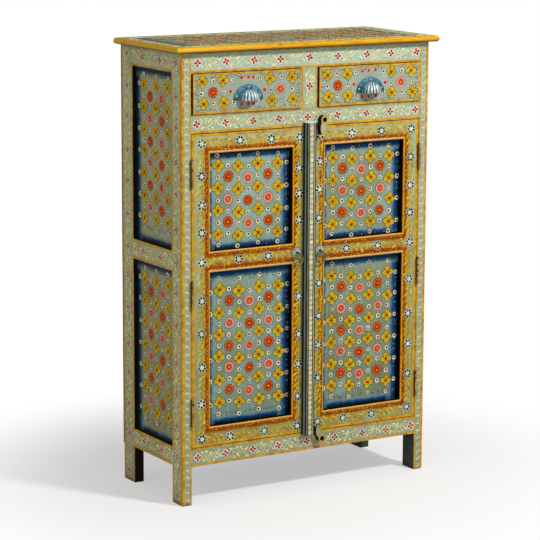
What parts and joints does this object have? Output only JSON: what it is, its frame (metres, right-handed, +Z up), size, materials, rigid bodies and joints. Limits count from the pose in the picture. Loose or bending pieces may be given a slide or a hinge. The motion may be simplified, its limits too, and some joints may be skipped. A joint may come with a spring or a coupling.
{
  "type": "cabinet with doors and drawers",
  "caption": "Floor-standing cabinet with side-by-side drawers above framed, panelled doors on short flat legs, with shell cup pulls, ring pulls and turning catches.",
  "frame": {"origin": "middle of the whole outline, on the floor", "axes": "+X to the right seen from the front, -Y is the front, +Z up"},
  "size_m": [0.8, 0.364, 1.2],
  "materials": {
    "sage_paint": "worn eggshell paint over wood, with traditional flower and scroll painting",
    "panel_paint": "worn eggshell paint over wood, sage with dark blue edges and a painted flower lattice",
    "yellow_paint": "worn ochre paint over wood",
    "bare_wood": "old unpainted wood",
    "old_steel": "aged, partly painted over",
    "dark_iron": "dark, worn",
    "painted_iron": "painted, worn",
    "cup_pull_paint": "blue paint worn to bright metal on the flutes",
    "screw_steel": "aged"
  },
  "bodies": {
    "cabinet": {"top_board": "sage_paint", "leg_front_left": "sage_paint", "leg_front_right": "sage_paint", "leg_rear_left": "sage_paint", "leg_rear_right": "sage_paint", "left_side_top_rail": "sage_paint", "left_side_mid_rail": "sage_paint", "left_side_bottom_rail": "sage_paint", "right_side_top_rail": "sage_paint", "right_side_mid_rail": "sage_paint", "right_side_bottom_rail": "sage_paint", "left_side_panels": "panel_paint", "right_side_panels": "panel_paint", "front_top_rail": "sage_paint", "front_mid_rail": "sage_paint", "front_bottom_rail": "sage_paint", "drawer_divider": "sage_paint", "back_panel": "bare_wood", "rear_rails": "bare_wood", "bottom_board": "bare_wood", "shelf": "bare_wood", "shelf_cleats": "bare_wood", "drawer_guides": "bare_wood", "frame_hinge_leaves": "old_steel", "hinge_pins": "old_steel"},
    "left_door": {"left_door_hinge_stile": "sage_paint", "left_door_closing_stile": "sage_paint", "left_door_top_rail": "sage_paint", "left_door_mid_rail": "sage_paint", "left_door_bottom_rail": "sage_paint", "left_door_panels": "panel_paint", "left_door_beads": "yellow_paint", "left_door_hinge_leaves": "old_steel", "left_ring_plate": "painted_iron", "cover_strip": "sage_paint"},
    "right_door": {"right_door_hinge_stile": "sage_paint", "right_door_closing_stile": "sage_paint", "right_door_top_rail": "sage_paint", "right_door_mid_rail": "sage_paint", "right_door_bottom_rail": "sage_paint", "right_door_panels": "panel_paint", "right_door_beads": "yellow_paint", "right_door_hinge_leaves": "old_steel", "right_ring_plate": "painted_iron", "catch_pivots": "old_steel"},
    "left_ring_pull": {"left_ring": "dark_iron"},
    "right_ring_pull": {"right_ring": "dark_iron"},
    "top_turning_catch": {"top_catch": "yellow_paint"},
    "bottom_turning_catch": {"bottom_catch": "yellow_paint"},
    "left_drawer": {"left_drawer_front": "sage_paint", "left_drawer_box": "bare_wood", "left_drawer_bottom": "bare_wood", "left_drawer_pull": "cup_pull_paint", "left_pull_screws": "screw_steel"},
    "right_drawer": {"right_drawer_front": "sage_paint", "right_drawer_box": "bare_wood", "right_drawer_bottom": "bare_wood", "right_drawer_pull": "cup_pull_paint", "right_pull_screws": "screw_steel"}
  },
  "joints": [
    {"name": "left_drawer_slide", "type": "slide", "parent": "cabinet", "child": "left_drawer", "axis": [0, -1, 0], "range_m": [0, 0.22]},
    {"name": "right_drawer_slide", "type": "slide", "parent": "cabinet", "child": "right_drawer", "axis": [0, -1, 0], "range_m": [0, 0.22]},
    {"name": "left_door_hinge", "type": "hinge", "parent": "cabinet", "child": "left_door", "pos_m": [-0.35025, -0.1554, 0.564], "axis": [0, 0, -1], "range_deg": [0, 170]},
    {"name": "right_door_hinge", "type": "hinge", "parent": "cabinet", "child": "right_door", "pos_m": [0.35025, -0.1554, 0.564], "axis": [0, 0, 1], "range_deg": [0, 170]},
    {"name": "left_ring_hinge", "type": "hinge", "parent": "left_door", "child": "left_ring_pull", "pos_m": [-0.034, -0.16, 0.6415], "axis": [-1, 0, 0], "range_deg": [0, 150]},
    {"name": "right_ring_hinge", "type": "hinge", "parent": "right_door", "child": "right_ring_pull", "pos_m": [0.037, -0.16, 0.6415], "axis": [-1, 0, 0], "range_deg": [0, 150]},
    {"name": "top_catch_pivot", "type": "hinge", "parent": "right_door", "child": "top_turning_catch", "pos_m": [0.0345, -0.157, 0.962], "axis": [0, 1, 0], "range_deg": [0, 100]},
    {"name": "bottom_catch_pivot", "type": "hinge", "parent": "right_door", "child": "bottom_turning_catch", "pos_m": [0.0263, -0.157, 0.16], "axis": [0, -1, 0], "range_deg": [0, 90]}
  ],
  "couplings": [
    {"joint": "right_door_hinge", "follows": "left_door_hinge", "ratio": 1}
  ]
}
